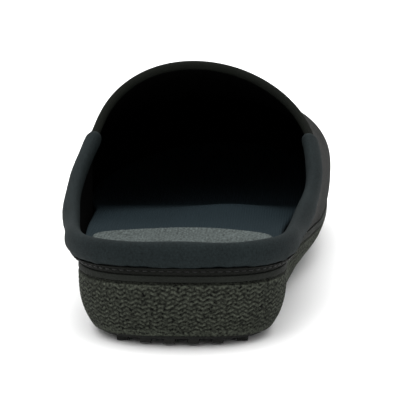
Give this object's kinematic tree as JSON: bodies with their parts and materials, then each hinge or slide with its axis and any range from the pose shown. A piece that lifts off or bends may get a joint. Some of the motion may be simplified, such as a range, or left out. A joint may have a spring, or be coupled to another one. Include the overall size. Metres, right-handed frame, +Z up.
{
  "type": "mule clog",
  "caption": "Left backless clog with a closed vamp, a padded heel rim, a contoured footbed with a grey heel pad and a thick lugged foam sole.",
  "frame": {"origin": "on the floor, under the middle of the shoe's bounding box", "axes": "+Y towards the toe, +X towards the medial side, +Z up"},
  "size_m": [0.1064, 0.2834, 0.0881],
  "materials": {
    "tread_rubber": "matte moulded rubber",
    "sole_foam": "matte moulded foam with a fine zigzag relief",
    "welt_strip": "matte rubber strip",
    "vamp_leather": "soft dull black leather",
    "rim_fabric": "soft padded slate fabric",
    "binding_fabric": "narrow black fabric binding",
    "footbed_fabric": "dark slate fabric over foam",
    "pad_fabric": "light grey heel pad"
  },
  "bodies": {
    "root": {"outsole": "tread_rubber", "midsole": "sole_foam", "welt": "welt_strip", "upper": "vamp_leather", "collar_rim": "rim_fabric", "vamp_binding": "binding_fabric", "footbed": "footbed_fabric", "heel_pad": "pad_fabric"}
  },
  "joints": []
}
